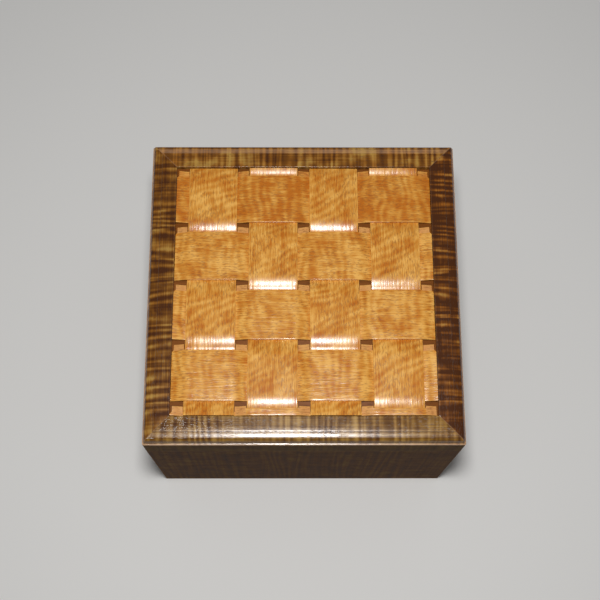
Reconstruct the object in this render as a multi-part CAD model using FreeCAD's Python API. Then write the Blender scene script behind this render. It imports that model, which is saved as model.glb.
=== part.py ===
import FreeCAD, Part
import math
import os

# A square keepsake box of mitred boards, with a lift-off lid that frames a basket-woven panel.
# Millimetres. +Z is up, +X is to the right and the front faces -Y.
# The origin is at the middle of the base, level with the surface that the box stands on.

# Outside of the closed box, and the stock that its sides and lid rails are cut from
outer_width = 150.0
outer_depth = 150.0
body_height = 90.0
lid_height = 22.0
board = 12.7

# Bottom panel, and the grooves that hold both panels
bottom_thickness = 5.0
bottom_lift = 4.0
groove_depth = 6.0
groove_play = 0.5

# Lining boards, whose tops stand up inside the lid and keep it in place
lining_thickness = 3.0
tongue_height = 6.0
tongue_clearance = 0.3
tongue_taper = 0.8
tongue_taper_height = 1.5

# Hidden splines across the mitred corners
spline_thickness = 3.0
spline_width = 8.0
spline_setback = 7.0
spline_end_cover = 4.0

# Lid rails: a flat, a small step down, a quarter round and a narrow ledge
moulding_radius = 4.8
moulding_step = 0.6
ledge_width = 0.6
lip_thickness = 3.0
lid_panel_thickness = 3.0

# Weave: long strips run front to back, slats run left to right
weave_thickness = 1.4
weave_clearance = 0.08
strip_count = 4
strip_gap = 5.9
side_gap = 6.3
strip_end_gap = 0.3
strip_crest_radius = 20.0
strip_trough_radius = 10.0
strip_tuck = 1.0
full_slat_count = 4
slat_gap = 2.5
slat_end_gap = 0.2
slat_bend_radius = 20.0
first_slat_setback = 1.95
last_slat_showing = 4.4
eased_edge = 0.5

# Notches in the rear edge of each slat, one at every strip and a small one at each end
notch_length = 2.6
notch_play = 0.3
end_notch_depth = 0.9
end_notch_slant = 1.0

# Heights and openings that follow from the sizes above
lid_top = body_height + lid_height
moulding_base = lid_top - moulding_step - moulding_radius
lid_panel_top = lid_top - lip_thickness
lid_panel_bottom = lid_panel_top - lid_panel_thickness
bottom_top = bottom_lift + bottom_thickness
lining_top = body_height + tongue_height
opening_width = outer_width - 2 * board
opening_depth = outer_depth - 2 * board

# Woven strips rise and fall by half their thickness, with a little air where they cross
weave_rise = (weave_thickness + weave_clearance) / 2
weave_middle = lid_panel_top + weave_thickness / 2 + weave_rise
strip_room = opening_width - 2 * side_gap - (strip_count - 1) * strip_gap
strip_width = strip_room / strip_count
slat_room = opening_depth - first_slat_setback - last_slat_showing - strip_end_gap
slat_width = (slat_room - full_slat_count * slat_gap) / full_slat_count
strip_pitch = strip_width + strip_gap
slat_pitch = slat_width + slat_gap
slat_count = full_slat_count + 1
# A strip goes up or down between the edge of one slat and the notch line of the next
strip_bend_gap = slat_gap + notch_length

origin = FreeCAD.Vector(0, 0, 0)
upward = FreeCAD.Vector(0, 0, 1)
# Each side of the box: its turn about Z, the middle of its outer face and its outer length
sides = {
    "front": (0, FreeCAD.Vector(0, -outer_depth / 2, 0), outer_width),
    "right": (90, FreeCAD.Vector(outer_width / 2, 0, 0), outer_depth),
    "back": (180, FreeCAD.Vector(0, outer_depth / 2, 0), outer_width),
    "left": (270, FreeCAD.Vector(-outer_width / 2, 0, 0), outer_depth),
}


def save(name, solids):
    """Write one or more solids as the STEP file of one named piece."""
    shape = solids[0] if len(solids) == 1 else Part.makeCompound(solids)
    shape.exportStep(os.path.join("parts", name + ".step"))


def block(width, depth, low, high):
    """A box centred on the Z axis between two heights."""
    corner = FreeCAD.Vector(-width / 2, -depth / 2, low)
    return Part.makeBox(width, depth, high - low, corner)


def section_point(inward, height):
    """A point of a board's cross-section, measured inward from its outer face."""
    return FreeCAD.Vector(0, inward, height)


def section_outline(points):
    """A closed straight-sided cross-section."""
    corners = [section_point(inward, height) for inward, height in points]
    return Part.makePolygon(corners + corners[:1])


def mitred_board(outline, side):
    """A board of one cross-section along a side of the box, its two ends cut at 45 degrees."""
    turn, place, length = sides[side]
    half = length / 2
    blank = Part.Face(outline).extrude(FreeCAD.Vector(length, 0, 0))
    blank.translate(FreeCAD.Vector(-half, 0, 0))
    corners = [(-half, 0), (half, 0), (0, half), (-half, 0)]
    between_mitres = Part.Face(Part.makePolygon([FreeCAD.Vector(x, y, 0) for x, y in corners]))
    between_mitres = between_mitres.extrude(FreeCAD.Vector(0, 0, lid_top))
    shape = blank.common(between_mitres).Solids[0]
    shape.rotate(origin, upward, turn)
    shape.translate(place)
    return shape


def corner_splines(low, high):
    """Four upright tongues, each across the mitre of one corner."""
    inset = board - spline_setback / math.sqrt(2)
    splines = []
    for across, along in ((1, 1), (-1, 1), (-1, -1), (1, -1)):
        spline = block(spline_thickness, spline_width, low, high)
        spline.rotate(origin, upward, math.degrees(math.atan2(along, across)))
        spline.translate(
            FreeCAD.Vector(across * (outer_width / 2 - inset), along * (outer_depth / 2 - inset), 0)
        )
        splines.append(spline)
    return splines


def side_outline():
    """A body side: a plain board with a groove near its foot for the bottom panel."""
    groove_floor = board - groove_depth
    return section_outline(
        [
            (0, 0),
            (0, body_height),
            (board, body_height),
            (board, bottom_top),
            (groove_floor, bottom_top),
            (groove_floor, bottom_lift),
            (board, bottom_lift),
            (board, 0),
        ]
    )


def lining_outline():
    """A lining board: against the side, then stepped back and tapered where the lid goes over it."""
    tongue_face = board + tongue_clearance
    return section_outline(
        [
            (board, bottom_top),
            (board, body_height),
            (tongue_face, body_height),
            (tongue_face, lining_top - tongue_taper_height),
            (tongue_face + tongue_taper, lining_top),
            (board + lining_thickness, lining_top),
            (board + lining_thickness, bottom_top),
        ]
    )


def lid_rail_outline():
    """A lid rail: grooved inside for the lid panel, and moulded along its outer top edge."""
    flat_edge = ledge_width + moulding_radius
    groove_floor = board - groove_depth
    slant = moulding_radius / math.sqrt(2)
    round_top = section_point(flat_edge, lid_top - moulding_step)
    round_middle = section_point(flat_edge - slant, moulding_base + slant)
    round_foot = section_point(ledge_width, moulding_base)
    before = [
        round_foot,
        section_point(0, moulding_base),
        section_point(0, body_height),
        section_point(board, body_height),
        section_point(board, lid_panel_bottom),
        section_point(groove_floor, lid_panel_bottom),
        section_point(groove_floor, lid_panel_top),
        section_point(board, lid_panel_top),
        section_point(board, lid_top),
        section_point(flat_edge, lid_top),
        round_top,
    ]
    edges = [Part.LineSegment(a, b).toShape() for a, b in zip(before, before[1:])]
    edges.append(Part.Arc(round_top, round_middle, round_foot).toShape())
    return Part.Wire(edges)


def grooved_panel(low, thickness):
    """A flat panel whose four edges stand in the grooves, a little short of their floors."""
    held = 2 * (groove_depth - groove_play)
    return block(opening_width + held, opening_depth + held, low, low + thickness)


def bend_turn(upper_radius, lower_radius):
    """The steepest slope of a bend from the upper level of the weave to the lower one."""
    return math.acos(1 - 2 * weave_rise / (upper_radius + lower_radius))


def bend_length(upper_radius, lower_radius):
    """The level distance that one bend takes."""
    return (upper_radius + lower_radius) * math.sin(bend_turn(upper_radius, lower_radius))


def margin_depth(margin, radius):
    """How far the inner face of a bend of this radius falls away over a margin."""
    inner_radius = radius - weave_thickness / 2
    return inner_radius - math.sqrt(inner_radius**2 - margin**2)


def centre_line(joins, first_level, upper_radius, lower_radius, start, end):
    """The middle line of a woven member: level runs, and an upper and a lower arc about each join."""
    turn = bend_turn(upper_radius, lower_radius)
    half_way = math.sin(turn) - math.sin(turn / 2)
    edges = []
    level = first_level
    at = FreeCAD.Vector(start, 0, level * weave_rise)
    for join in joins:
        leaving = upper_radius if level > 0 else lower_radius
        landing = lower_radius if level > 0 else upper_radius
        leave = FreeCAD.Vector(join - leaving * math.sin(turn), 0, level * weave_rise)
        early_drop = leaving * (1 - math.cos(turn / 2))
        early = FreeCAD.Vector(join - leaving * half_way, 0, level * (weave_rise - early_drop))
        middle = FreeCAD.Vector(join, 0, level * (weave_rise - leaving * (1 - math.cos(turn))))
        late_drop = landing * (1 - math.cos(turn / 2))
        late = FreeCAD.Vector(join + landing * half_way, 0, -level * (weave_rise - late_drop))
        land = FreeCAD.Vector(join + landing * math.sin(turn), 0, -level * weave_rise)
        edges.append(Part.LineSegment(at, leave).toShape())
        edges.append(Part.Arc(leave, early, middle).toShape())
        edges.append(Part.Arc(middle, late, land).toShape())
        at = land
        level = -level
    edges.append(Part.LineSegment(at, FreeCAD.Vector(end, 0, at.z)).toShape())
    return Part.Wire(edges)


def woven_member(corners, joins, first_level, upper_radius, lower_radius, half_length):
    """A thin member along X, of one cross-section, that bends over and under what crosses it."""
    run_out = bend_length(upper_radius, lower_radius)
    start = -half_length - run_out
    height = first_level * weave_rise
    points = [FreeCAD.Vector(start, across, height + up) for across, up in corners]
    outline = Part.makePolygon(points + points[:1])
    end = half_length + run_out
    path = centre_line(joins, first_level, upper_radius, lower_radius, start, end)
    return path.makePipeShell([outline], True, False)


def strip_centre(number):
    """The X of one long strip, counted from 0 at the left."""
    return -opening_width / 2 + side_gap + strip_width / 2 + number * strip_pitch


def slat_centre(number):
    """The Y of one slat, counted from 0 at the back."""
    return opening_depth / 2 - first_slat_setback - slat_width / 2 - number * slat_pitch


def strip_section():
    """A strip's cross-section, its long edges eased top and bottom for the slats' bends."""
    half_width = strip_width / 2
    half_thickness = weave_thickness / 2
    beyond_gap = (bend_length(slat_bend_radius, slat_bend_radius) - strip_gap) / 2
    margin = max(beyond_gap, eased_edge)
    depth = margin_depth(margin, slat_bend_radius)
    return [
        (-half_width, half_thickness - depth),
        (-half_width + margin, half_thickness),
        (half_width - margin, half_thickness),
        (half_width, half_thickness - depth),
        (half_width, -half_thickness + depth),
        (half_width - margin, -half_thickness),
        (-half_width + margin, -half_thickness),
        (-half_width, -half_thickness + depth),
    ]


def slat_section():
    """A slat's cross-section, eased for the strips' bends, with thin tabs behind the notch line."""
    half_width = slat_width / 2
    half_thickness = weave_thickness / 2
    notch_line = half_width - notch_length
    beyond_gap = bend_length(strip_crest_radius, strip_trough_radius) - strip_bend_gap - strip_tuck
    margin = max(beyond_gap, eased_edge)
    top_edge = half_thickness - margin_depth(margin, strip_crest_radius)
    bottom_edge = margin_depth(strip_tuck, strip_trough_radius) - half_thickness
    return [
        (-half_width, top_edge),
        (-half_width + margin, half_thickness),
        (notch_line - margin, half_thickness),
        (notch_line, top_edge),
        (half_width, top_edge),
        (half_width, bottom_edge),
        (notch_line, bottom_edge),
        (notch_line - strip_tuck, -half_thickness),
        (-half_width + strip_tuck, -half_thickness),
        (-half_width, bottom_edge),
    ]


def woven_strip(number):
    """A long strip, over every other slat; odd and even strips alternate."""
    trough_length = strip_trough_radius * math.sin(bend_turn(strip_crest_radius, strip_trough_radius))
    towards_low = strip_bend_gap / 2 + strip_tuck - trough_length
    first_level = 1 if (number + slat_count - 1) % 2 == 0 else -1
    level = first_level
    joins = []
    for slat in reversed(range(slat_count)):
        gap_middle = slat_centre(slat) + slat_width / 2 - notch_length + strip_bend_gap / 2
        joins.append(gap_middle + level * towards_low)
        level = -level
    half_depth = opening_depth / 2
    strip = woven_member(
        strip_section(), joins, first_level, strip_crest_radius, strip_trough_radius, half_depth
    )
    strip.rotate(origin, upward, 90)
    strip.translate(FreeCAD.Vector(strip_centre(number), 0, weave_middle))
    length = opening_depth - 2 * strip_end_gap
    return strip.common(block(opening_width, length, lid_panel_top, lid_top)).Solids[0]


def strip_notch(number, notch_line):
    """The block cut from a slat's rear edge where one strip passes."""
    width = strip_width + 2 * notch_play
    corner = FreeCAD.Vector(strip_centre(number) - width / 2, notch_line, lid_panel_top)
    return Part.makeBox(width, notch_length, lid_top - lid_panel_top, corner)


def end_notch(hand, end, notch_line):
    """The small slanted notch cut from a slat's rear corner on one hand."""
    rear_corner = FreeCAD.Vector(hand * end, notch_line + notch_length, lid_panel_top)
    inward = FreeCAD.Vector(-hand * end_notch_depth, 0, 0)
    forward = FreeCAD.Vector(0, -notch_length, 0)
    slant_end = FreeCAD.Vector(0, -notch_length - end_notch_slant, 0)
    steps = (origin, inward, inward + forward, slant_end, origin)
    outline = Part.makePolygon([rear_corner + step for step in steps])
    return Part.Face(outline).extrude(FreeCAD.Vector(0, 0, lid_top - lid_panel_top))


def woven_slat(number):
    """A slat, bent over every other strip, with its rear edge notched for all of them."""
    joins = [strip_centre(strip) - strip_pitch / 2 for strip in range(strip_count + 1)]
    first_level = 1 if number % 2 == 0 else -1
    half_width = opening_width / 2
    slat = woven_member(
        slat_section(), joins, first_level, slat_bend_radius, slat_bend_radius, half_width
    )
    slat.translate(FreeCAD.Vector(0, slat_centre(number), weave_middle))
    length = opening_width - 2 * slat_end_gap
    depth = opening_depth - 2 * strip_end_gap
    slat = slat.common(block(length, depth, lid_panel_top, lid_top))
    notch_line = slat_centre(number) + slat_width / 2 - notch_length
    notches = [strip_notch(strip, notch_line) for strip in range(strip_count)]
    notches += [end_notch(hand, length / 2, notch_line) for hand in (-1, 1)]
    return slat.cut(notches).Solids[0]


os.makedirs("parts", exist_ok=True)

# The body: four sides, their splines, the bottom panel and the lining
side_splines = corner_splines(bottom_top + spline_end_cover, body_height - spline_end_cover)
for side in sides:
    side_board = mitred_board(side_outline(), side)
    save("side_" + side, side_board.cut(side_splines).Solids)
    save("lining_" + side, [mitred_board(lining_outline(), side)])
save("side_corner_splines", side_splines)
save("bottom_panel", [grooved_panel(bottom_lift, bottom_thickness)])

# The lid: four moulded rails, their splines and the panel that backs the weave
lid_splines = corner_splines(body_height + spline_end_cover, lid_panel_bottom - spline_end_cover)
for side in sides:
    rail = mitred_board(lid_rail_outline(), side)
    save("lid_rail_" + side, rail.cut(lid_splines).Solids)
save("lid_corner_splines", lid_splines)
save("lid_panel", [grooved_panel(lid_panel_bottom, lid_panel_thickness)])

# The weave, counted from the left for strips and from the back for slats
for number in range(strip_count):
    save("weave_strip_" + str(number + 1), [woven_strip(number)])
for number in range(slat_count):
    save("weave_slat_" + str(number + 1), [woven_slat(number)])
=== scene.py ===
import math

import bmesh
import bpy
from bpy.props import FloatProperty, FloatVectorProperty, PointerProperty
from mathutils import Matrix, Vector


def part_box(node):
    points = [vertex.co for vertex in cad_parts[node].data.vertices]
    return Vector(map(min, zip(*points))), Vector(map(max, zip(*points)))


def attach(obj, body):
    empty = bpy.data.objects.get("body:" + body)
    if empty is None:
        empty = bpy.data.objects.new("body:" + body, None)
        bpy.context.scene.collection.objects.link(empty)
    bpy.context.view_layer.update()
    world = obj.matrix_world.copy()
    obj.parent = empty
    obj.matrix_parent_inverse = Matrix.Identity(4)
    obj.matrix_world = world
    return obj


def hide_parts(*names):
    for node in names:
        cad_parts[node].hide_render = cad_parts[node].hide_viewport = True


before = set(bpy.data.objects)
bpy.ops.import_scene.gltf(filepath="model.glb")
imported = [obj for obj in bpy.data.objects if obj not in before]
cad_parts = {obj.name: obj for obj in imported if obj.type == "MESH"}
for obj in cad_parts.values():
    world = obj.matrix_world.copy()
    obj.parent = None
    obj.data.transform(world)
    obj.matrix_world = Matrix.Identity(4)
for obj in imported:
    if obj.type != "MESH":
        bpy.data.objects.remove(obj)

# The looks of a square keepsake box: mitred walnut, a moulded lid frame and a basket-woven panel.
# Metres. +Z is up, +X is to the right and the front faces -Y.

bl_info = {
    "name": "Woven lid keepsake box",
    "version": (1, 0, 0),
    "blender": (4, 5, 0),
    "location": "3D View > Sidebar > Keepsake box",
    "description": "Builds the mitred walnut body and the moulded, woven lid of a keepsake box",
    "category": "Object",
}

mm = 0.001

SIDES = ("front", "right", "back", "left")
STRIPS = [name for name in sorted(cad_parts) if name.startswith("weave_strip_")]
SLATS = [name for name in sorted(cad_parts) if name.startswith("weave_slat_")]

# Outside of the box and its main levels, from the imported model
corners_of = {node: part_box(node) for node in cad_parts}
side_low, side_high = corners_of["side_front"]
rail_low, rail_high = corners_of["lid_rail_front"]
lining_low, lining_high = corners_of["lining_front"]
bottom_low, bottom_high = corners_of["bottom_panel"]
panel_low, panel_high = corners_of["lid_panel"]
outer_width = side_high.x - side_low.x
outer_depth = corners_of["side_back"][1].y - side_low.y
board = side_high.y - side_low.y
lid_top = rail_high.z
lid_bottom = rail_low.z

# Seeds of the grain: each group of pieces counts on from its own
side_seed = 3
lining_seed = 11
bottom_seed = 17
lid_panel_seed = 19
rail_seed = 23
strip_seed = 31
slat_seed = 41


def length_property(name, description, default):
    """A size that a maker could change, in metres."""
    return FloatProperty(name=name, description=description, default=default, unit="LENGTH", precision=5)


def colour_property(name, description, default):
    """A wood or floor colour, in linear light."""
    return FloatVectorProperty(
        name=name, description=description, default=default, subtype="COLOR", size=3, min=0, max=1
    )


def share_property(name, description, default):
    """A strength from none to full."""
    return FloatProperty(name=name, description=description, default=default, subtype="FACTOR", min=0, max=1)


class KeepsakeSizes(bpy.types.PropertyGroup):
    """Sizes of the edges, the moulding and the weave."""

    arris: length_property("Arris", "Radius of the eased edges of the boards", 0.3 * mm)
    corner_ease: length_property("Corner ease", "How far the upright corners are rubbed back", 0.4 * mm)
    mitre_ease: length_property("Mitre ease", "Depth of the fine line along each mitre", 0.07 * mm)
    groove_wall: length_property("Groove wall", "Wood left outside the panels' grooves", 5 * mm)
    moulding_width: length_property("Moulding width", "Width of the lid's round", 4.5 * mm)
    moulding_height: length_property("Moulding height", "Height of the lid's round", 4.8 * mm)
    moulding_brow: length_property("Moulding brow", "Radius of the flat upper part of the round", 15 * mm)
    moulding_brow_width: length_property("Brow width", "Width of the round's upper part", 2.8 * mm)
    moulding_step: length_property("Moulding step", "Drop from the rail's flat to the round", 0.6 * mm)
    ledge_width: length_property("Ledge width", "Width of the ledge below the round", 0.9 * mm)
    ledge_fall: length_property("Ledge fall", "How far the ledge slopes outward", 0.05 * mm)
    crown: length_property("Crown", "How far the rail's flat falls towards its outer edge", 0.09 * mm)
    tongue_step: length_property("Tongue step", "Play between the lining and the lid", 0.3 * mm)
    tongue_taper: length_property("Tongue taper", "How much the lining's top narrows", 0.8 * mm)
    tongue_taper_height: length_property("Taper height", "Height of the lining's taper", 1.5 * mm)
    weave_thickness: length_property("Weave thickness", "Thickness of strips and slats", 1.4 * mm)
    crest_radius: length_property("Crest radius", "Bend of a strip as it leaves the top", 20 * mm)
    trough_radius: length_property("Trough radius", "Bend of a strip as it goes under", 10 * mm)
    slat_radius: length_property("Slat radius", "Bends of a slat, up and down", 20 * mm)
    strip_tuck: length_property("Strip tuck", "How far a strip is level under a slat's edge", 1.0 * mm)
    notch_length: length_property("Notch length", "Depth of the notches behind a slat", 2.6 * mm)
    notch_play: length_property("Notch play", "Room on each side of a strip in its notch", 0.3 * mm)
    end_notch: length_property("End notch", "Width of the small notch at a slat's end", 0.9 * mm)
    end_slant: length_property("End slant", "Slant of the small notch at a slat's end", 1.0 * mm)
    undercut: length_property("Undercut", "How much thinner the front slat is over a strip", 0.9 * mm)
    undercut_width: length_property("Undercut width", "Width of the front slat's undercut", 5 * mm)
    front_notch: length_property("Front notch", "Depth of the notches behind the front slat", 0.9 * mm)
    front_lag: length_property("Front lag", "How much later a strip bends at the front slat", 0.7 * mm)
    weave_arris: length_property("Weave arris", "Radius of the edges of strips and slats", 0.17 * mm)


class KeepsakeFinishes(bpy.types.PropertyGroup):
    """Colours of the woods and of the painted highlight, sheen and shade, in linear light."""

    walnut_dark: colour_property("Walnut dark", "Troughs of the walnut's curl", (0.064, 0.017, 0.0018))
    walnut_body: colour_property("Walnut body", "Body colour of the lid's walnut", (0.195, 0.057, 0.0030))
    walnut_olive: colour_property("Walnut olive", "Body colour of the golden boards", (0.200, 0.093, 0.0080))
    walnut_gold: colour_property("Walnut gold", "Crests of the walnut's curl", (0.43, 0.240, 0.048))
    walnut_red: colour_property("Walnut red", "Redder crests of the walnut's curl", (0.44, 0.145, 0.012))
    # Pale colour of rubbed edges, which also stands in as painted highlight on the edges and the ledge
    walnut_rubbed: colour_property("Walnut rubbed", "Rubbed edges of the walnut", (0.62, 0.40, 0.26))
    walnut_pore: colour_property("Walnut pore", "Open pores of the walnut", (0.02, 0.008, 0.004))
    # Near-black painted shade in inner corners and on the lower cheek of the lid's round
    walnut_grime: colour_property("Walnut grime", "Wax and dust in the corners", (0.012, 0.006, 0.004))
    # Painted shade: the sides' walnut is made this much as light as the lid's
    side_share: share_property("Side shade", "How light the sides' walnut is beside the lid's", 0.42)
    golden_body: colour_property("Golden body", "Body colour of the woven wood", (0.63, 0.262, 0.034))
    golden_pale: colour_property("Golden pale", "Pale figure of the woven wood", (0.81, 0.425, 0.094))
    golden_red: colour_property("Golden red", "Red-brown streaks of the woven wood", (0.50, 0.145, 0.009))
    golden_pore: colour_property("Golden pore", "Open pores of the woven wood", (0.22, 0.070, 0.012))
    # Painted sheen: a paler, pinker colour on the tabs between the strips
    golden_tab: colour_property("Golden tab", "Bare tabs between the strips", (0.66, 0.315, 0.11))
    panel_body: colour_property("Panel body", "Brown panels", (0.205, 0.064, 0.008))
    lining_body: colour_property("Lining body", "Pale lining wood", (0.55, 0.36, 0.18))


class KeepsakeStage(bpy.types.PropertyGroup):
    """Floor and lights."""

    floor: colour_property("Floor", "Pale plain floor", (0.80, 0.79, 0.77))
    key_power: FloatProperty(
        name="Key power", description="Power of the softbox over the camera", default=2.9, unit="POWER"
    )
    key_size: length_property("Key size", "Width of the softbox", 0.08)
    fill: share_property("Fill", "Strength of the room's light", 0.16)


def mitre_side(side, inward, along, height):
    """A point of one side of the box, from its outer face inward, as a point of the whole box."""
    turn = math.radians(90 * SIDES.index(side))
    half = outer_depth / 2 if side in ("front", "back") else outer_width / 2
    return Matrix.Rotation(turn, 3, "Z") @ Vector((along, inward - half, height))


def side_length(side):
    """The outer length of one side of the box."""
    return outer_width if side in ("front", "back") else outer_depth


def signed_area(points):
    """Twice the area inside a closed outline, negative where the outline runs clockwise."""
    pairs = zip(points, points[1:] + points[:1])
    return sum(here[0] * ahead[1] - ahead[0] * here[1] for here, ahead in pairs)


def rounded_outline(corners):
    """A closed outline from corners (across, up, radius), as points (across, up, edge).

    edge is 1 on an eased outer edge, which is rubbed pale and given painted highlight, -1 in an inner
    corner, which is given painted shade, and 0 elsewhere. A corner may have a fourth value of its own: how
    strongly its eased edge is rubbed pale and given painted highlight, or the edge value of a corner without
    a radius.
    """
    arc_steps = 4
    flank = 0.5 * mm
    most_arc = 0.42
    most_flank = 0.48
    arc_end_edge = 0.7
    hand = signed_area(corners)
    points = []
    for number, (across, up, radius, *edge_value) in enumerate(corners):
        here = Vector((across, up))
        if radius == 0:
            points.append((across, up, edge_value[0] if edge_value else 0.0))
            continue
        back = Vector(corners[number - 1][:2]) - here
        ahead = Vector(corners[(number + 1) % len(corners)][:2]) - here
        turn = back.x * ahead.y - back.y * ahead.x
        outer_edge_value = edge_value[0] if edge_value else 1.0
        outward = outer_edge_value if turn * hand < 0 else -1.0
        half = back.angle(ahead) / 2
        reach = min(radius / math.tan(half), most_arc * back.length, most_arc * ahead.length)
        radius = reach * math.tan(half)
        back_flank = min(reach + flank, most_flank * back.length)
        ahead_flank = min(reach + flank, most_flank * ahead.length)
        back.normalize()
        ahead.normalize()
        centre = here + (back + ahead).normalized() * (radius / math.sin(half))
        first = here + back * reach - centre
        last = here + ahead * reach - centre
        sweep = math.pi - 2 * half
        points.append((*(here + back * back_flank), 0.0))
        for step in range(arc_steps + 1):
            share = step / arc_steps
            spoke = first * math.sin((1 - share) * sweep) + last * math.sin(share * sweep)
            point = centre + spoke / math.sin(sweep)
            points.append((*point, outward * (arc_end_edge if step in (0, arc_steps) else 1.0)))
        points.append((*(here + ahead * ahead_flank), 0.0))
    return points


def outline_normals(points):
    """The outward direction at each point of a closed outline."""
    hand = 1.0 if signed_area(points) > 0 else -1.0
    normals = []
    for number in range(len(points)):
        back = Vector(points[number - 1][:2])
        ahead = Vector(points[(number + 1) % len(points)][:2])
        run = (ahead - back).normalized()
        normals.append(Vector((run.y, -run.x)) * hand)
    return normals


def loft(name, rings, marks, **even):
    """A closed mesh through rings of points, each of which should have as many as the first.

    The front slat's rings have one more point between its ends than at them, which skews its faces.
    marks holds a value for each point, and even one value for the whole mesh.
    """
    count = len(rings[0])
    verts = [point for ring in rings for point in ring]
    faces = []
    for ring in range(len(rings) - 1):
        for number in range(count):
            after = (number + 1) % count
            low, high = ring * count, (ring + 1) * count
            faces.append((low + number, low + after, high + after, high + number))
    faces.append(tuple(reversed(range(count))))
    faces.append(tuple(range((len(rings) - 1) * count, len(rings) * count)))
    mesh = bpy.data.meshes.new(name)
    mesh.from_pydata(verts, [], faces)
    for mark, value in even.items():
        marks[mark] = [value] * len(verts)
    for mark, values in marks.items():
        if mark == "grain":
            layer = mesh.attributes.new(mark, "FLOAT_VECTOR", "POINT")
            layer.data.foreach_set("vector", [axis for value in values for axis in value])
        else:
            layer = mesh.attributes.new(mark, "FLOAT", "POINT")
            layer.data.foreach_set("value", values)
    finish_mesh(mesh)
    return mesh


def finish_mesh(mesh):
    """Outward faces, smooth over the arcs and sharp at the hard corners."""
    hard_corner = math.radians(38)
    work = bmesh.new()
    work.from_mesh(mesh)
    bmesh.ops.recalc_face_normals(work, faces=work.faces)
    work.to_mesh(mesh)
    work.free()
    mesh.polygons.foreach_set("use_smooth", [True] * len(mesh.polygons))
    mesh.set_sharp_from_angle(angle=hard_corner)


def new_piece(name, mesh, body, slot, material, *nodes):
    """Puts a finished mesh in the scene as the visible form of its nodes."""
    piece = bpy.data.objects.new(name, mesh)
    bpy.context.scene.collection.objects.link(piece)
    mesh.materials.append(material)
    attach(piece, body)
    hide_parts(*nodes)
    return piece


def grain_offset(seed):
    """A far place in the wood for each piece, so that no two have the same figure."""
    return Vector((0.31 * seed, 0.17 * seed, 0.23 * seed))


def mitred_board(name, side, corners, seed, **even):
    """A board along one side of the box, mitred and finely eased at its ends.

    Each station along it is a share of its length, how far its ends stand back and how far its faces
    are pulled in, both in eases, its value of the seam mark, and how far it stands short of the mitre.
    """
    sizes = bpy.context.scene.keepsake_sizes
    short = 0.4 * mm
    outline = rounded_outline(corners)
    normals = outline_normals(outline)
    length = side_length(side)
    offset = grain_offset(seed)
    rings, grain, edge, seam = [], [], [], []
    stations = [(1, 0.0, 1.0, 1.0, 0.0), (1, 0.3, 0.4, 0.7, 0.0), (1, 1.0, 0.0, 0.3, 0.0)]
    stations += [(share, 1.0, 0.0, 0.0, short) for share in (1, 0.75, 0.5, 0.25, 0.0)]
    stations += [(-share, *step) for share, *step in reversed(stations[:-1])]
    for share, back, pull, line, gap in stations:
        ring = []
        for (inward, height, mark), normal in zip(outline, normals):
            outward = max(0.0, -normal.x) ** 2
            ease = sizes.mitre_ease + (sizes.corner_ease - sizes.mitre_ease) * outward
            inward = inward - normal.x * ease * pull
            height = height - normal.y * ease * pull
            along = share * (length / 2 - inward - back * ease - gap)
            ring.append(mitre_side(side, inward, along, height))
            grain.append(Vector((along, inward, height)) + offset)
            edge.append(mark)
            seam.append(line)
        rings.append(ring)
    return loft(name, rings, {"grain": grain, "edge": edge, "seam": seam}, **even)


def side_corners():
    """The section of a body side, grooved for the bottom."""
    sizes = bpy.context.scene.keepsake_sizes
    arris = sizes.arris
    inner = arris * 0.7
    top_wear = 0.3
    return [
        (0, side_low.z, arris * 1.4),
        (0, side_high.z, arris, top_wear),
        (board, side_high.z, inner),
        (board, bottom_high.z, 0),
        (sizes.groove_wall, bottom_high.z, 0),
        (sizes.groove_wall, bottom_low.z, 0),
        (board, bottom_low.z, inner),
        (board, side_low.z, inner),
    ]


def lining_corners():
    """The section of a lining board, stepped back and tapered where the lid goes over it."""
    sizes = bpy.context.scene.keepsake_sizes
    inner = lining_high.y - side_low.y
    face = board + sizes.tongue_step
    top = lining_high.z
    soft = 0.4 * mm
    return [
        (board, lining_low.z, 0),
        (board, side_high.z, 0),
        (face, side_high.z, 0),
        (face, top - sizes.tongue_taper_height, soft),
        (face + sizes.tongue_taper, top, 0.25 * mm),
        (inner, top, soft),
        (inner, lining_low.z, 0),
    ]


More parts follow.
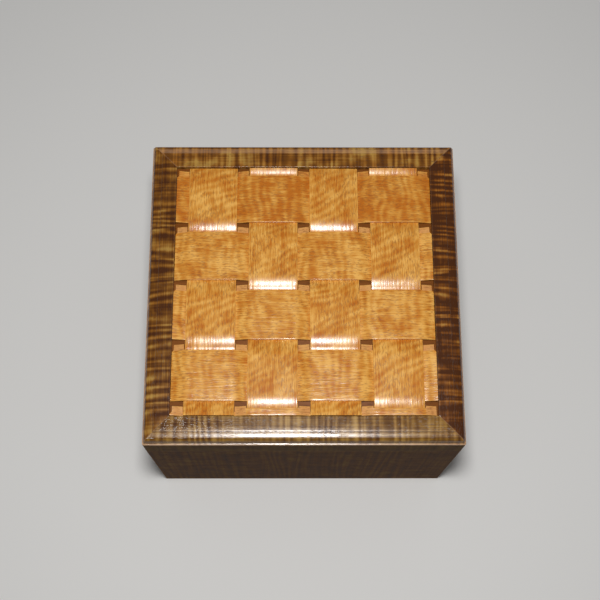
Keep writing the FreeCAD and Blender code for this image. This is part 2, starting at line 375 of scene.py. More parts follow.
def rail_corners(round_sheen):
    """The section of a lid rail: ledge, round, step and flat, grooved for the panel.

    The one argument is how much painted sheen, a paler colour, the round's upper part gets.
    """
    sizes = bpy.context.scene.keepsake_sizes
    width = sizes.moulding_width
    flat_edge = sizes.ledge_width + width
    round_top = lid_top - sizes.moulding_step
    brow = sizes.moulding_brow
    brow_turn = math.asin(sizes.moulding_brow_width / brow)
    brow_fall = brow * (1 - math.cos(brow_turn))
    cheek = (width - sizes.moulding_brow_width) / (1 - math.sin(brow_turn))
    cheek_base = round_top - brow_fall - cheek * math.cos(brow_turn)
    ledge = round_top - sizes.moulding_height
    ledge_middle = 0.6
    inner = sizes.arris * 0.7
    fine = 0.12 * mm
    foot_wear = 0.3
    # Edge values: the ledge and the flat's outer edge are rubbed pale and also given painted highlight
    ledge_wear_and_sheen = 1.2
    flat_wear_and_sheen = 0.4
    inner_wear = 0.1
    cheek_steps = 10
    shaded_steps = 6
    most_shade = 0.9
    brow_steps = 5
    crown_steps = 8
    corners = [
        (0, lid_bottom, sizes.arris, foot_wear),
        (0, ledge - sizes.ledge_fall, sizes.arris * 1.4, ledge_wear_and_sheen),
        # The ledge's middle gets painted highlight as well
        (sizes.ledge_width * ledge_middle, ledge - sizes.ledge_fall * (1 - ledge_middle), 0, 1.0),
        (sizes.ledge_width, ledge, fine),
    ]
    for step in range(cheek_steps + 1):
        turn = (math.pi / 2 - brow_turn) * step / cheek_steps
        inward = sizes.ledge_width + cheek * (1 - math.cos(turn))
        # Painted shade on the cheek, darkest at its foot and gone about halfway up
        cheek_shade = min(0.0, step / shaded_steps - most_shade)
        corners.append((inward, cheek_base + cheek * math.sin(turn), 0, cheek_shade))
    for step in range(1, brow_steps):
        turn = brow_turn * (1 - step / brow_steps)
        fall = brow * (1 - math.cos(turn))
        corners.append((flat_edge - brow * math.sin(turn), round_top - fall, 0, round_sheen))
    corners.append((flat_edge, round_top, fine))
    corners.append((flat_edge, lid_top - sizes.crown, sizes.arris * 0.6, flat_wear_and_sheen))
    for step in range(1, crown_steps):
        share = (step / crown_steps) ** 1.8
        fall = sizes.crown * (1 - share) ** 9
        corners.append((flat_edge + share * (board - flat_edge), lid_top - fall, 0))
    corners += [
        (board, lid_top, sizes.arris * 0.5, inner_wear),
        (board, panel_high.z, 0),
        (sizes.groove_wall, panel_high.z, 0),
        (sizes.groove_wall, panel_low.z, 0),
        (board, panel_low.z, inner),
        (board, lid_bottom, inner),
    ]
    return corners


def eased_panel(name, low, high, seed):
    """A flat rectangular panel with eased edges and corners, its grain along X."""
    arris = bpy.context.scene.keepsake_sizes.arris
    corner = 2 * arris
    corner_steps = 4
    offset = grain_offset(seed)
    levels = ((low.z, arris), (low.z + arris * 0.3, arris * 0.3), (low.z + arris, 0.0))
    levels += tuple((low.z + high.z - height, inset) for height, inset in reversed(levels))
    rings, grain, edge = [], [], []
    for height, inset in levels:
        ring = []
        for quarter, (across, along) in enumerate(((1, 1), (-1, 1), (-1, -1), (1, -1))):
            for step in range(corner_steps + 1):
                turn = math.pi / 2 * (quarter + step / corner_steps)
                x = across * ((high.x - low.x) / 2 - corner) + (corner - inset) * math.cos(turn)
                y = along * ((high.y - low.y) / 2 - corner) + (corner - inset) * math.sin(turn)
                ring.append(Vector((x, y, height)))
                grain.append(Vector((x, y, height)) + offset)
                edge.append(1.0 if inset > 0 else 0.5)
        rings.append(ring)
    return loft(name, rings, {"grain": grain, "edge": edge})


def weave_rise():
    """How far strips and slats lie above and below the middle of the weave."""
    top = corners_of[STRIPS[0]][1].z
    return (top - panel_high.z - bpy.context.scene.keepsake_sizes.weave_thickness) / 2


def row_gap():
    """The gap between one slat's near edge and the notched rear edge of the slat in front."""
    gap = corners_of[SLATS[0]][0].y - corners_of[SLATS[1]][1].y
    return gap + bpy.context.scene.keepsake_sizes.notch_length


def bend_turn(upper, lower):
    """The steepest slope of a bend with these two radii, as an angle."""
    return math.acos(1 - 2 * weave_rise() / (upper + lower))


def bend_length(upper, lower):
    """The level distance that one bend takes."""
    return (upper + lower) * math.sin(bend_turn(upper, lower))


def margin_depth(margin, radius):
    """How far the inner face of a bend of this radius falls away over a margin."""
    inner = radius - bpy.context.scene.keepsake_sizes.weave_thickness / 2
    return inner - math.sqrt(inner**2 - margin**2)


def weave_height(place, joins, first_level, upper, lower):
    """The height and slope of a woven member's middle line at one place along it."""
    turn = bend_turn(upper, lower)
    rise = weave_rise()
    level = first_level
    for join in joins:
        leaving, landing = (upper, lower) if level > 0 else (lower, upper)
        start, end = join - leaving * math.sin(turn), join + landing * math.sin(turn)
        if place <= start:
            break
        if place < end:
            radius, away = (leaving, place - start) if place < join else (landing, end - place)
            leg = math.sqrt(radius**2 - away**2)
            side = level if place < join else -level
            return side * (rise - (radius - leg)), -level * away / leg
        level = -level
    return level * rise, 0.0


def weave_places(joins, first_level, upper, lower, start, end):
    """Where a woven member's sections stand: close over the bends and wide between them."""
    steps = 9
    turn = bend_turn(upper, lower)
    places = {start, end}
    level = first_level
    for join in joins:
        leaving, landing = (upper, lower) if level > 0 else (lower, upper)
        for step in range(steps + 1):
            angle = turn * step / steps
            places.add(join - leaving * (math.sin(turn) - math.sin(angle)))
            places.add(join + landing * (math.sin(turn) - math.sin(angle)))
        level = -level
    return sorted(place for place in places if start <= place <= end)


def eased_walls(places, walls):
    """Adds the two faces of each notch wall to the places along a slat."""
    thin = 0.02 * mm
    kept = [place for place in places if all(abs(place - wall) > 3 * thin for wall in walls)]
    for wall in walls:
        kept += [wall - thin, wall + thin]
    return sorted(kept)


def woven_mesh(name, places, section_at, path, turned, centre, seed, **even):
    """A woven member's mesh: sections square to its path, and upright at its two ends.

    path is its joins, first level and two radii. turned is whether it runs front to back.
    """
    middle = panel_high.z + bpy.context.scene.keepsake_sizes.weave_thickness / 2 + weave_rise()
    offset = grain_offset(seed)
    rings, grain, edge, tab = [], [], [], []
    for number, place in enumerate(places):
        height, slope = weave_height(place, *path)
        run = math.hypot(1, slope)
        ring = []
        for across, up, mark, tab_sheen_value in section_at(place):
            if number in (0, len(places) - 1):
                along, level = place, height + up * run
            else:
                along, level = place - up * slope / run, height + up / run
            along = min(max(along, places[0]), places[-1])
            if turned:
                ring.append(Vector((centre - across, along, middle + level)))
            else:
                ring.append(Vector((along, centre + across, middle + level)))
            grain.append(Vector((place, across, up)) + offset)
            edge.append(mark)
            # The last value of each section point is its share of painted sheen, a paler, pinker colour
            tab.append(tab_sheen_value)
        rings.append(ring)
    return loft(name, rings, {"grain": grain, "edge": edge, "tab": tab}, **even)


def strip_section(width):
    """A strip's section, its long edges eased for the slats' bends."""
    sizes = bpy.context.scene.keepsake_sizes
    thick = sizes.weave_thickness / 2
    gap = corners_of[STRIPS[1]][0].x - corners_of[STRIPS[0]][1].x
    margin = (bend_length(sizes.slat_radius, sizes.slat_radius) - gap) / 2
    depth = margin_depth(margin, sizes.slat_radius)
    half = width / 2
    inner = half * 0.4
    arris = sizes.weave_arris
    outline = rounded_outline(
        [
            (-half, thick - depth, arris),
            (-half + margin, thick, 0),
            (-inner, thick, 0),
            (inner, thick, 0),
            (half - margin, thick, 0),
            (half, thick - depth, arris),
            (half, depth - thick, arris),
            (half - margin, -thick, 0),
            (margin - half, -thick, 0),
            (-half, depth - thick, arris),
        ]
    )
    return [(*point, 0.0) for point in outline]


def slat_section(near, rear, near_edge, notch_line, raised, undercut, sheen_from, sheen_level):
    """A slat's section between two edges, thin behind the notch line where the tabs are.

    near_edge is where a whole slat's near edge is. raised is 1 where the slat is over a strip and 0
    where it is under one. undercut is how much thinner its rear edge is made from below. Points past
    the place where the sheen starts get the given share of painted sheen, a paler and pinker colour.
    """
    sizes = bpy.context.scene.keepsake_sizes
    thick = sizes.weave_thickness / 2
    tuck = sizes.strip_tuck
    margin = bend_length(sizes.crest_radius, sizes.trough_radius) - row_gap() - tuck
    raised_ease = 0.85
    top_fall = margin_depth(margin, sizes.crest_radius) * (1 - raised_ease * raised)
    low_fall = margin_depth(tuck, sizes.trough_radius)
    line = min(rear, notch_line)
    tab_sheen_value = sheen_level if rear > notch_line else 0.0
    step = 0.2 * mm

    def fall(across, reach):
        from_near = (near_edge + reach - across) / reach
        from_line = (across - notch_line + reach) / reach
        return min(1.0, max(0.0, from_near, from_line))

    def top(across):
        return thick - top_fall * fall(across, margin)

    def underside(across):
        taper = undercut * (1 - (rear - across) / sizes.undercut_width)
        return max(low_fall * fall(across, tuck), taper) - thick

    upper = [near_edge + margin, (near_edge + line) / 2, line - margin, line - 2 * step, line - step]
    lower = [line - step, line - tuck, near_edge + tuck]
    arris = sizes.weave_arris
    outline = [(near, top(near), arris)]
    outline += [(place, top(place), 0) for place in upper if place > near + step]
    outline += [(rear, top(rear), arris), (rear, underside(rear), arris)]
    outline += [(place, underside(place), 0) for place in lower if place > near + step]
    outline.append((near, underside(near), arris))
    return [(*point, tab_sheen_value if point[0] > sheen_from else 0.0) for point in rounded_outline(outline)]


# Shader nodes


def socket_label(word):
    """A socket's or group's label from a plain word: band_width is Band width."""
    return word.replace("_", " ").capitalize()


class Wiring:
    """Short forms for adding and joining the nodes of one material or node group."""

    def __init__(self, tree):
        self.tree = tree

    def add(self, kind, **settings):
        """A new node."""
        node = self.tree.nodes.new("ShaderNode" + kind)
        for name, value in settings.items():
            setattr(node, name, value)
        return node

    def feed(self, socket, value):
        """Links a socket to a result, or sets it to a number, vector or colour."""
        if isinstance(value, bpy.types.NodeSocket):
            self.tree.links.new(value, socket)
        elif socket.type == "RGBA" and len(value) == 3:
            socket.default_value = (*value, 1)
        else:
            socket.default_value = value

    def result(self, kind, values, **settings):
        """The first output of a new node whose first inputs take these values."""
        node = self.add(kind, **settings)
        for socket, value in zip(node.inputs, values):
            self.feed(socket, value)
        return node.outputs[0]

    def maths(self, operation, *values):
        return self.result("Math", values, operation=operation)

    def vector(self, operation, *values):
        return self.result("VectorMath", values, operation=operation)

    def spread(self, value, low, high, to_low=0.0, to_high=1.0, how="LINEAR"):
        """A value between two levels, spread over another range."""
        levels = (value, low, high, to_low, to_high)
        return self.result("MapRange", levels, clamp=True, interpolation_type=how)

    def total(self, start, *parts):
        """A starting value, plus each part times its weight."""
        for value, weight in parts:
            start = self.maths("MULTIPLY_ADD", value, weight, start)
        return start

    def noise(self, place, detail=2.0, rough=0.5, bend=0.0):
        node = self.add("TexNoise")
        levels = {"Vector": place, "Scale": 1.0, "Detail": detail, "Roughness": rough, "Distortion": bend}
        for label, value in levels.items():
            self.feed(node.inputs[label], value)
        return node.outputs["Fac"]

    def blend(self, factor, first, second, how="MIX"):
        node = self.add("Mix", data_type="RGBA", blend_type=how)
        self.feed(node.inputs["Factor"], factor)
        self.feed(node.inputs[6], first)
        self.feed(node.inputs[7], second)
        return node.outputs[2]

    def stained(self, colour, mask, strength, stain):
        """A colour that turns towards a stain where the mask says so."""
        return self.blend(self.maths("MULTIPLY", mask, strength), colour, stain)

    def stretched(self, place, length, width):
        """A place in the wood, counted in lengths along the grain and in widths across it."""
        along = self.maths("DIVIDE", 1.0, length)
        across = self.maths("DIVIDE", 1.0, width)
        return self.vector("MULTIPLY", place, self.result("CombineXYZ", (along, across, across)))

    def axes(self, place):
        """The three parts of a place."""
        node = self.add("SeparateXYZ")
        self.feed(node.inputs[0], place)
        return node.outputs

    def mark(self, name):
        """The value of one of the pieces' marks."""
        return self.add("Attribute", attribute_name=name).outputs["Fac"]

    def wood_place(self):
        """The place in the wood, from the grain marks."""
        return self.add("Attribute", attribute_name="grain").outputs["Vector"]

    def use(self, build, **values):
        """The outputs of a shared node group, which is built the first time that it is used."""
        name = socket_label(build.__name__)
        node = self.add("Group", node_tree=bpy.data.node_groups.get(name) or build(name))
        for word, value in values.items():
            self.feed(node.inputs[socket_label(word)], value)
        return node.outputs

    def relief(self, shader, height, depth):
        """Joins a height pattern to the shader's normal, as relief of this depth in metres."""
        bump = self.add("Bump")
        bump.inputs["Strength"].default_value = 1.0
        bump.inputs["Distance"].default_value = depth
        self.feed(bump.inputs["Height"], height)
        self.feed(shader["Normal"], bump.outputs["Normal"])


def new_group(name, results, **numbers):
    """An empty node group that takes a place and these numbers, and the wiring to fill it."""
    tree = bpy.data.node_groups.new(name, "ShaderNodeTree")
    tree.interface.new_socket(name="Place", in_out="INPUT", socket_type="NodeSocketVector")
    for word, value in numbers.items():
        label = socket_label(word)
        socket = tree.interface.new_socket(name=label, in_out="INPUT", socket_type="NodeSocketFloat")
        socket.default_value = value
    for label in results:
        tree.interface.new_socket(name=label, in_out="OUTPUT", socket_type="NodeSocketFloat")
    given = tree.nodes.new("NodeGroupInput").outputs
    made = tree.nodes.new("NodeGroupOutput").inputs
    return tree, Wiring(tree), given, made


def long_grain(name):
    """Long grain: fine streaks, and the broad light and dark bands of the growth rings."""
    tree, wires, given, made = new_group(
        name,
        ("Streaks", "Bands"),
        streak_width=0.5 * mm,
        streak_length=40 * mm,
        band_width=6 * mm,
        band_length=160 * mm,
    )
    for result, bend in (("Streak", 0.25), ("Band", 0.5)):
        scaled = wires.stretched(given["Place"], given[result + " length"], given[result + " width"])
        cloud = wires.noise(scaled, 3.0, 0.55, bend)
        wires.feed(made[result + "s"], wires.spread(cloud, 0.32, 0.68))
    return tree


def open_pores(name):
    """Open pores: short dark dashes along the grain, closer in some patches than in others."""
    patch_width = 1 / 120
    rim = 0.05
    tree, wires, given, made = new_group(
        name, ["Pores"], pore_width=0.35 * mm, pore_length=3.5 * mm, threshold=0.62
    )
    scaled = wires.stretched(given["Place"], given["Pore length"], given["Pore width"])
    dashes = wires.noise(scaled, 1.0, 0.4)
    patches = wires.noise(wires.stretched(given["Place"], patch_width, patch_width), 1.0)
    level = wires.maths("ADD", given["Threshold"], wires.spread(patches, 0.35, 0.65, 0.06, -0.03))
    wires.feed(made["Pores"], wires.spread(dashes, level, wires.maths("ADD", level, rim)))
    return tree


def curl_figure(name):
    """Curly figure: soft stripes across the grain that wander, fade and come back."""
    elsewhere = (7.3, 2.9, 5.1)
    drift_share = 0.3
    tree, wires, given, made = new_group(
        name, ["Curl"], period=5 * mm, reach=22 * mm, wander=2.0, slant=0.0
    )
    along, across, _ = wires.axes(given["Place"])
    drift_length = wires.maths("DIVIDE", given["Period"], drift_share)
    scaled = wires.stretched(given["Place"], drift_length, given["Reach"])
    drift = wires.maths("SUBTRACT", wires.noise(scaled, 1.0, 0.4), 0.5)
    leaning = wires.maths("MULTIPLY_ADD", across, given["Slant"], along)
    phase = wires.total(wires.maths("DIVIDE", leaning, given["Period"]), (drift, given["Wander"]))
    wave = wires.maths("SINE", wires.maths("MULTIPLY", phase, 2 * math.pi))
    patches = wires.noise(wires.vector("ADD", scaled, elsewhere), 1.0)
    strength = wires.spread(patches, 0.35, 0.62, 0.3, 1.0)
    wires.feed(made["Curl"], wires.total(0.5, (wires.maths("MULTIPLY", wave, strength), 0.5)))
    return tree


def edge_wear(name):
    """Edges: rubbed pale and given painted highlight on the outer ones, painted shade in the inner corners.
    """
    patch_length = 6.25 * mm
    patch_width = 2.5 * mm
    tree, wires, given, made = new_group(name, ("Rubbed", "Painted_shade"), edge=0.0)
    patches = wires.noise(wires.stretched(given["Place"], patch_length, patch_width), 3.0, 0.6)
    patchy = wires.spread(patches, 0.3, 0.65, 0.55, 1.0)
    for result, hand in (("Rubbed", 1.0), ("Painted_shade", -1.0)):
        edge = wires.maths("MAXIMUM", wires.maths("MULTIPLY", given["Edge"], hand), 0.0)
        wires.feed(made[result], wires.maths("MULTIPLY", edge, patchy))
    return tree


def soft_blotches(name):
    """Soft blotches, from the wood itself and from handling."""
    tree, wires, given, made = new_group(name, ["Cloud"], width=18 * mm)
    scaled = wires.stretched(given["Place"], given["Width"], given["Width"])
    cloud = wires.noise(scaled, 2.0, 0.5, 0.4)
    wires.feed(made["Cloud"], wires.spread(cloud, 0.32, 0.68))
    return tree


def shared_material(name, dress, *values):
    """A material, dressed the first time that a piece asks for it."""
    done = bpy.data.materials.get(name)
    if done:
        return done
    material = bpy.data.materials.new(name)
    material.use_nodes = True
    dress(Wiring(material.node_tree), material.node_tree.nodes["Principled BSDF"].inputs, *values)
    return material


def dress_walnut(wires, shader, shade, contrast, reach, roughness, specular):
    """Dark oiled walnut with gold and brown curl, darkened by a factor of painted shade, its edges rubbed
    pale with painted highlight, painted shade in its inner corners and its mitres a fine pale line.
    """
    finish = bpy.context.scene.keepsake_finishes
    grain = wires.wood_place()
    gold = wires.mark("gold")
    streaks, bands = wires.use(long_grain, place=grain, streak_width=0.3 * mm, band_width=3.5 * mm)
    curl = wires.use(curl_figure, place=grain, period=4.2 * mm, reach=reach, wander=4.6)[0]
    ripple = wires.use(curl_figure, place=grain, period=2.1 * mm, reach=0.7 * reach, wander=4.0)[0]
    cloud = wires.use(soft_blotches, place=grain, width=9 * mm)[0]
    pores = wires.use(open_pores, place=grain, pore_width=0.2 * mm, pore_length=2.5 * mm)[0]
    rubbed_and_sheen, painted_shade = wires.use(edge_wear, place=grain, edge=wires.mark("edge"))
    flame = wires.total(-0.85, (ripple, 0.28), (curl, 0.62), (bands, 0.3), (cloud, 0.5))
    figure = wires.maths("MULTIPLY", wires.mark("figure"), contrast)
    flame = wires.maths("MULTIPLY_ADD", flame, figure, 0.29)
    flame = wires.total(flame, (wires.mark("tone"), 0.2 * contrast), (streaks, 0.42))
    body = wires.blend(gold, finish.walnut_body, finish.walnut_olive)
    crest = wires.spread(wires.maths("ADD", cloud, gold), 0.3, 1.2)
    crest = wires.blend(crest, finish.walnut_red, finish.walnut_gold)
    colour = wires.blend(wires.spread(flame, 0.02, 0.56), finish.walnut_dark, body)
    colour = wires.blend(wires.spread(flame, 0.50, 1.05), colour, crest)
    colour = wires.stained(colour, pores, 0.6, finish.walnut_pore)
    # Painted shade: the whole colour times the shade factor, below one on the sides
    colour = wires.blend(1.0, colour, (shade, shade, shade), "MULTIPLY")
    # Pale edges, partly rubbed wear and partly painted highlight
    colour = wires.stained(colour, rubbed_and_sheen, 0.85, finish.walnut_rubbed)
    # Painted shade in the inner corners and on the round's lower cheek
    colour = wires.stained(colour, painted_shade, 0.8, finish.walnut_grime)
    colour = wires.stained(colour, wires.mark("seam"), 0.35, finish.walnut_rubbed)
    wires.feed(shader["Base Color"], colour)
    rough = wires.spread(flame, 0.1, 0.9, roughness - 0.045, roughness + 0.025)
    wires.feed(shader["Roughness"], wires.total(rough, (pores, 0.15)))
    shader["Specular IOR Level"].default_value = specular
    height = wires.total(0.0, (pores, -0.8), (curl, 0.9), (streaks, 0.35))
    wires.relief(shader, height, 0.012 * mm)


def rail_walnut():
    """The polished walnut of the lid's top and moulding."""
    return shared_material("rail_walnut", dress_walnut, 1.0, 1.0, 80 * mm, 0.215, 0.5)


def side_walnut():
    """The oiled walnut of the box's outer faces, darkened by painted shade and with less sheen."""
    shade = bpy.context.scene.keepsake_finishes.side_share
    return shared_material("side_walnut", dress_walnut, shade, 0.5, 160 * mm, 0.6, 0.03)


def dress_golden_wood(wires, shader):
    """Golden figured wood under glossy lacquer: wavy streaks, curl, orange blotches and open pores."""
    finish = bpy.context.scene.keepsake_finishes
    grain = wires.wood_place()
    slant = wires.mark("slant")
    streaks, bands = wires.use(
        long_grain,
        place=grain,
        streak_width=0.42 * mm,
        streak_length=6 * mm,
        band_width=1.5 * mm,
        band_length=20 * mm,
    )
    curl = wires.use(
        curl_figure, place=grain, period=4.2 * mm, reach=16 * mm, wander=2.6, slant=slant
    )[0]
    cloud = wires.use(soft_blotches, place=grain, width=10 * mm)[0]
    pores = wires.use(
        open_pores, place=grain, pore_width=0.4 * mm, pore_length=1.7 * mm, threshold=0.56
    )[0]
    rubbed_and_sheen = wires.use(edge_wear, place=grain, edge=wires.mark("edge"))[0]
    figure = wires.total(-0.01, (streaks, 0.35), (bands, 0.16), (curl, 0.20), (cloud, 0.33))
    figure = wires.total(figure, (wires.mark("tone"), 0.13))
    colour = wires.blend(wires.spread(figure, 0.26, 0.50), finish.golden_red, finish.golden_body)
    colour = wires.blend(wires.spread(figure, 0.50, 0.76), colour, finish.golden_pale)
    # Painted sheen: a paler, pinker colour on the tabs
    colour = wires.stained(colour, wires.mark("tab"), 0.7, finish.golden_tab)
    colour = wires.stained(colour, pores, 0.45, finish.golden_pore)
    # Pale edges, partly rubbed wear and partly painted highlight
    colour = wires.stained(colour, rubbed_and_sheen, 0.55, finish.golden_pale)
    wires.feed(shader["Base Color"], colour)
    rough = wires.spread(cloud, 0, 1, 0.21, 0.26)
    wires.feed(shader["Roughness"], wires.total(rough, (pores, 0.05)))
    height = wires.total(0.0, (pores, -0.4), (curl, 0.7), (streaks, 0.5), (bands, 3.0))
    wires.relief(shader, height, 0.012 * mm)


def golden_wood():
    """The golden wood of the strips and slats."""
    return shared_material("figured_golden_wood", dress_golden_wood)


def shaded(colour, share):
    """A colour made darker or lighter, up to white."""
    return [min(1.0, share * value) for value in colour]


def dress_plain_wood(wires, shader, body, light_share, roughness):
    """A plain straight-grained wood, matt, for what the box has inside."""
    grain = wires.wood_place()
    streaks, bands = wires.use(long_grain, place=grain)
    cloud = wires.use(soft_blotches, place=grain)[0]
    pores = wires.use(open_pores, place=grain)[0]
    colour = wires.blend(wires.spread(bands, 0, 1, 0.0, 0.6), body, shaded(body, light_share))
    colour = wires.blend(wires.spread(streaks, 0, 1, 0.45, 0.0), colour, shaded(body, 0.55))
    colour = wires.stained(colour, pores, 0.5, shaded(body, 0.275))
    wires.feed(shader["Base Color"], colour)
    wires.feed(shader["Roughness"], wires.spread(cloud, 0, 1, roughness - 0.06, roughness + 0.06))
    shader["Specular IOR Level"].default_value = 0.2
    wires.relief(shader, wires.maths("SUBTRACT", streaks, pores), 0.01 * mm)


def brown_panel():
    """The plain brown wood of the two panels."""
    body = bpy.context.scene.keepsake_finishes.panel_body
    return shared_material("plain_brown_wood", dress_plain_wood, body, 1.45, 0.55)


def pale_lining():
    """The plain pale wood of the lining."""
    body = bpy.context.scene.keepsake_finishes.lining_body
    return shared_material("plain_pale_wood", dress_plain_wood, body, 1.2, 0.6)


def dress_splines(wires, shader):
    """The pale wood of the hidden splines, its grain upright and placed by the object itself."""
    body = bpy.context.scene.keepsake_finishes.lining_body
    x, y, z = wires.axes(wires.add("TexCoord").outputs["Object"])
    streaks, bands = wires.use(long_grain, place=wires.result("CombineXYZ", (z, x, y)))
    colour = wires.blend(wires.spread(bands, 0, 1, 0.0, 0.5), body, shaded(body, 0.7))
    colour = wires.blend(wires.spread(streaks, 0, 1, 0.3, 0.0), colour, shaded(body, 0.5))
    wires.feed(shader["Base Color"], colour)
    wires.feed(shader["Roughness"], wires.spread(streaks, 0, 1, 0.55, 0.65))
    wires.relief(shader, streaks, 0.01 * mm)


def spline_wood():
    """The pale wood of the hidden splines."""
    return shared_material("spline_wood", dress_splines)


# Operators, one for each piece or group of like pieces


class KEEPSAKE_OT_sides(bpy.types.Operator):
    """Build the four mitred sides of the body"""

    bl_idname = "keepsake.sides"
    bl_label = "Body sides"

    def execute(self, context):
        for seed, side in enumerate(SIDES, side_seed):
            node = "side_" + side
            mesh = mitred_board(node, side, side_corners(), seed, tone=0.0, figure=1.0, gold=0.3)
            new_piece(node + "_board", mesh, "box", "dark_walnut", side_walnut(), node)
        return {"FINISHED"}


class KEEPSAKE_OT_lining(bpy.types.Operator):
    """Build the four lining boards, whose tops stand up inside the lid"""

    bl_idname = "keepsake.lining"
    bl_label = "Lining"

    def execute(self, context):
        for seed, side in enumerate(SIDES, lining_seed):
            node = "lining_" + side
            mesh = mitred_board(node, side, lining_corners(), seed)
            new_piece(node + "_board", mesh, "box", "pale_lining", pale_lining(), node)
        return {"FINISHED"}


class KEEPSAKE_OT_panels(bpy.types.Operator):
    """Build the bottom panel and the panel behind the weave"""

    bl_idname = "keepsake.panels"
    bl_label = "Panels"

    def execute(self, context):
        mesh = eased_panel("bottom_panel", bottom_low, bottom_high, bottom_seed)
        new_piece("bottom_board", mesh, "box", "brown_panel", brown_panel(), "bottom_panel")
        mesh = eased_panel("lid_panel", panel_low, panel_high, lid_panel_seed)
        new_piece("lid_board", mesh, "lid", "brown_panel", brown_panel(), "lid_panel")
        return {"FINISHED"}


class KEEPSAKE_OT_rails(bpy.types.Operator):
    """Build the four moulded rails of the lid"""

    bl_idname = "keepsake.rails"
    bl_label = "Lid rails"

    def execute(self, context):
        sizes = context.scene.keepsake_sizes
        round_base = lid_top - sizes.moulding_step - sizes.moulding_height - sizes.ledge_fall
        # Painted sheen on the back rail's round
        back_round_sheen = 0.32
        woods = {
            "front": {"tone": 0.3, "figure": 0.78, "gold": 0.85},
            "right": {"tone": -1.6, "figure": 1.5, "gold": 0.05},
            "back": {"tone": 0.5, "figure": 1.05, "gold": 0.35},
            "left": {"tone": -0.3, "figure": 0.98, "gold": 0.4},
        }
        for seed, side in enumerate(SIDES, rail_seed):
            node = "lid_rail_" + side
            corners = rail_corners(back_round_sheen if side == "back" else 0.0)
            mesh = mitred_board(node, side, corners, seed, **woods[side])
            new_piece(node + "_board", mesh, "lid", "dark_walnut", rail_walnut(), node)
            # Outer faces below the round and the underside take the sides' walnut, with its painted shade
            mesh.materials.append(side_walnut())
            outward = mitre_side(side, 0, 0, 0).normalized()
            for face in mesh.polygons:
                upright = abs(face.normal.dot(outward)) > 0.9
                if face.center.z < round_base and (upright or face.normal.z < -0.5):
                    face.material_index = 1
        return {"FINISHED"}


class KEEPSAKE_OT_strips(bpy.types.Operator):
    """Build the long strips of the weave"""

    bl_idname = "keepsake.strips"
    bl_label = "Woven strips"

    def execute(self, context):
        sizes = context.scene.keepsake_sizes
        upper, lower = sizes.crest_radius, sizes.trough_radius
        trough = lower * math.sin(bend_turn(upper, lower))
        half_gap = row_gap() / 2
        for number, node in enumerate(STRIPS):
            low, high = corners_of[node]
            first_level = 1 if (number + len(SLATS) - 1) % 2 == 0 else -1
            level = first_level
            joins = []
            for slat in reversed(SLATS):
                middle = corners_of[slat][1].y - sizes.notch_length + half_gap
                lag = sizes.front_lag if slat == SLATS[-1] and level < 0 else 0.0
                joins.append(middle - lag + level * (half_gap + sizes.strip_tuck - trough))
                level = -level
            path = (joins, first_level, upper, lower)
            places = weave_places(*path, low.y, high.y)
            section = strip_section(high.x - low.x)
            centre = (low.x + high.x) / 2
            seed = strip_seed + number
            mesh = woven_mesh(
                node, places, lambda place: section, path, True, centre, seed, tone=0.1, slant=0.5
            )
            new_piece(node + "_wood", mesh, "lid", "golden_wood", golden_wood(), node)
        return {"FINISHED"}


class KEEPSAKE_OT_slats(bpy.types.Operator):
    """Build the notched slats of the weave"""

    bl_idname = "keepsake.slats"
    bl_label = "Woven slats"

    def execute(self, context):
        sizes = context.scene.keepsake_sizes
        radius = sizes.slat_radius
        rear = (corners_of[SLATS[0]][1].y - corners_of[SLATS[0]][0].y) / 2
        line = rear - sizes.notch_length
        strips = [corners_of[strip] for strip in STRIPS]
        pitch = strips[1][0].x - strips[0][0].x
        joins = [(low.x + high.x - pitch) / 2 for low, high in strips]
        joins.append(joins[-1] + pitch)
        columns = [(low.x - sizes.notch_play, high.x + sizes.notch_play) for low, high in strips]
        tones = (-1.0, 0.25, 0.35, 0.3, 0.0)
        tab_rim = 0.3 * mm
        # Shares of painted sheen, a paler, pinker colour: in the notches, and on the tabs
        notch_sheen_level = 0.15
        for number, (node, tone) in enumerate(zip(SLATS, tones)):
            low, high = corners_of[node]
            centre = high.y - rear
            near = low.y - centre
            inner_end = high.x - sizes.end_notch
            front = node == SLATS[-1]
            # The front slat gets painted sheen all across, the others from just before the notch line back;
            # the first slat's tabs get less
            sheen_from = -math.inf if front else line - tab_rim
            tab_sheen_level = 0.25 if node == SLATS[0] else 1.0
            path = (joins, 1 if number % 2 == 0 else -1, radius, radius)

            def section_at(place):
                reach = rear
                raised = weave_height(place, *path)[0] / weave_rise() / 2 + 0.5
                undercut = 0.0
                sheen_level = tab_sheen_level
                if any(start < place < stop for start, stop in columns):
                    reach = line
                    sheen_level = notch_sheen_level
                    if front and raised > 0.5:
                        reach = rear - sizes.front_notch
                        undercut = sizes.undercut
                if abs(place) > inner_end:
                    reach = line - sizes.end_slant * (abs(place) - inner_end) / sizes.end_notch
                return slat_section(near, reach, -rear, line, raised, undercut, sheen_from, sheen_level)

            walls = [wall for column in columns for wall in column] + [-inner_end, inner_end]
            places = eased_walls(weave_places(*path, low.x, high.x), walls)
            seed = slat_seed + number
            mesh = woven_mesh(node, places, section_at, path, False, centre, seed, tone=tone, slant=0.1)
            new_piece(node + "_wood", mesh, "lid", "golden_wood", golden_wood(), node)
        return {"FINISHED"}


class KEEPSAKE_OT_splines(bpy.types.Operator):
    """Finish the splines that are hidden in the mitres"""

    bl_idname = "keepsake.splines"
    bl_label = "Corner splines"

    def execute(self, context):
        for node in ("side_corner_splines", "lid_corner_splines"):
            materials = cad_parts[node].data.materials
            materials.clear()
            materials.append(spline_wood())
        return {"FINISHED"}


class KEEPSAKE_OT_stage(bpy.types.Operator):
    """Set up the pale floor, the soft light and the camera"""

    bl_idname = "keepsake.stage"
    bl_label = "Floor, light and camera"

    def execute(self, context):
        build_floor(context.scene)
        build_light(context.scene)
        build_camera(context.scene)
        context.scene.view_settings.view_transform = "Standard"
        return {"FINISHED"}


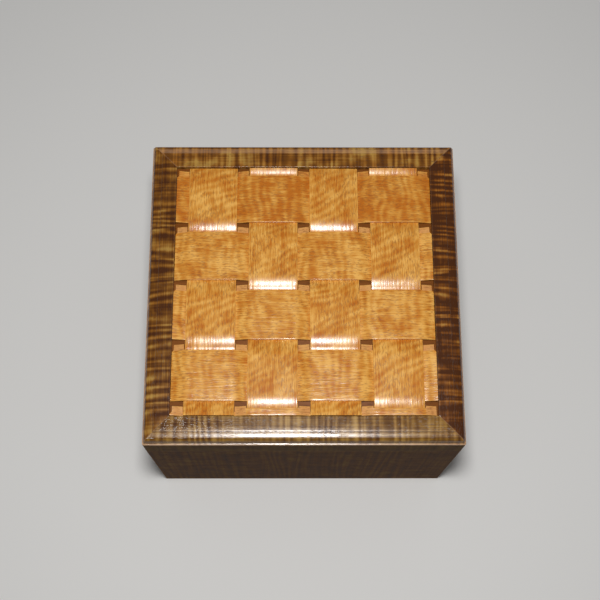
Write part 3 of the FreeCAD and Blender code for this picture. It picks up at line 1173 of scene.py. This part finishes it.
def dress_floor(wires, shader, colour):
    """A pale matt floor that shows its own colour far away, whatever light falls there."""
    fade_start = 0.28
    fade_end = 0.75
    wires.feed(shader["Base Color"], colour)
    shader["Roughness"].default_value = 0.9
    shader["Specular IOR Level"].default_value = 0.1
    away = wires.add("VectorMath", operation="LENGTH")
    wires.feed(away.inputs[0], wires.add("TexCoord").outputs["Object"])
    far = wires.spread(away.outputs["Value"], fade_start, fade_end, how="SMOOTHSTEP")
    path = wires.add("LightPath").outputs
    seen = wires.maths("MAXIMUM", path["Is Camera Ray"], path["Is Glossy Ray"])
    pale = wires.result("Emission", [colour])
    nodes = wires.tree.nodes
    lit = nodes["Principled BSDF"].outputs[0]
    mixed = wires.result("MixShader", (wires.maths("MULTIPLY", far, seen), lit, pale))
    wires.feed(nodes["Material Output"].inputs["Surface"], mixed)


def build_floor(scene):
    """A wide pale floor that keeps the box's shadow and stays pale far away."""
    radius = 12.0
    sectors = 96
    turns = [2 * math.pi * number / sectors for number in range(sectors)]
    points = [(0, 0, 0)] + [(radius * math.cos(turn), radius * math.sin(turn), 0) for turn in turns]
    faces = [(0, 1 + number, 1 + (number + 1) % sectors) for number in range(sectors)]
    mesh = bpy.data.meshes.new("floor")
    mesh.from_pydata(points, [], faces)
    floor = bpy.data.objects.new("floor", mesh)
    scene.collection.objects.link(floor)
    mesh.materials.append(shared_material("floor", dress_floor, scene.keepsake_stage.floor))


def build_light(scene):
    """One softbox over the camera, and an even pale room."""
    stage = scene.keepsake_stage
    place = Vector((-9.5, -99.8, 693.7)) * mm
    aim = Vector((0, 0, lid_top))
    lamp = bpy.data.lights.new("softbox", "AREA")
    lamp.shape = "DISK"
    lamp.size = stage.key_size
    lamp.energy = stage.key_power
    softbox = bpy.data.objects.new("softbox", lamp)
    softbox.location = place
    softbox.rotation_euler = (aim - place).to_track_quat("-Z", "Y").to_euler()
    scene.collection.objects.link(softbox)
    world = bpy.data.worlds.new("room")
    world.use_nodes = True
    wires = Wiring(world.node_tree)
    room = world.node_tree.nodes["Background"]
    wires.feed(room.inputs["Color"], (1, 1, 1))
    room.inputs["Strength"].default_value = stage.fill
    seen = wires.result("Background", [stage.floor])
    camera_ray = wires.add("LightPath").outputs["Is Camera Ray"]
    mixed = wires.result("MixShader", (camera_ray, room.outputs[0], seen))
    wires.feed(world.node_tree.nodes["World Output"].inputs["Surface"], mixed)
    scene.world = world


def build_camera(scene):
    """The photograph's viewpoint: above the box and a little in front, turned slightly."""
    eye = Vector((-6.03, -164.75, 621.97)) * mm
    pitch = math.radians(72.751)
    yaw = 0.0264656
    roll = 0.0254177
    ahead = Vector((math.sin(yaw) * math.cos(pitch), math.cos(yaw) * math.cos(pitch), -math.sin(pitch)))
    level = Vector((math.cos(yaw), -math.sin(yaw), 0))
    up = level.cross(ahead)
    right = level * math.cos(roll) + up * math.sin(roll)
    up = up * math.cos(roll) - level * math.sin(roll)
    lens = bpy.data.cameras.new("camera")
    lens.lens = 67.38
    lens.sensor_width = 36
    lens.clip_start = 0.01
    lens.clip_end = 50
    camera = bpy.data.objects.new("camera", lens)
    turn = Matrix((right, up, -ahead)).transposed()
    camera.matrix_world = Matrix.Translation(eye) @ turn.to_4x4()
    scene.collection.objects.link(camera)
    scene.camera = camera


class KEEPSAKE_PT_panel(bpy.types.Panel):
    """Lists the steps that build the keepsake box"""

    bl_idname = "KEEPSAKE_PT_panel"
    bl_label = "Keepsake box"
    bl_space_type = "VIEW_3D"
    bl_region_type = "UI"
    bl_category = "Keepsake box"

    def draw(self, context):
        for group in GROUPS:
            settings = getattr(context.scene, group)
            box = self.layout.box()
            for name in settings.__annotations__:
                box.prop(settings, name)
        for step in STEPS:
            self.layout.operator(step.bl_idname)


STEPS = (
    KEEPSAKE_OT_sides,
    KEEPSAKE_OT_lining,
    KEEPSAKE_OT_panels,
    KEEPSAKE_OT_rails,
    KEEPSAKE_OT_strips,
    KEEPSAKE_OT_slats,
    KEEPSAKE_OT_splines,
    KEEPSAKE_OT_stage,
)
GROUPS = {
    "keepsake_sizes": KeepsakeSizes,
    "keepsake_finishes": KeepsakeFinishes,
    "keepsake_stage": KeepsakeStage,
}


def register():
    for group in GROUPS.values():
        bpy.utils.register_class(group)
    for name, group in GROUPS.items():
        setattr(bpy.types.Scene, name, PointerProperty(type=group))
    for step in STEPS:
        bpy.utils.register_class(step)
    bpy.utils.register_class(KEEPSAKE_PT_panel)


def unregister():
    bpy.utils.unregister_class(KEEPSAKE_PT_panel)
    for step in reversed(STEPS):
        bpy.utils.unregister_class(step)
    for name in GROUPS:
        delattr(bpy.types.Scene, name)
    for group in reversed(list(GROUPS.values())):
        bpy.utils.unregister_class(group)


def main():
    """Builds the whole box."""
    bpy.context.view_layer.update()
    register()
    bpy.ops.keepsake.sides()
    bpy.ops.keepsake.lining()
    bpy.ops.keepsake.panels()
    bpy.ops.keepsake.rails()
    bpy.ops.keepsake.strips()
    bpy.ops.keepsake.slats()
    bpy.ops.keepsake.splines()
    bpy.ops.keepsake.stage()


if __name__ == "__main__":
    main()
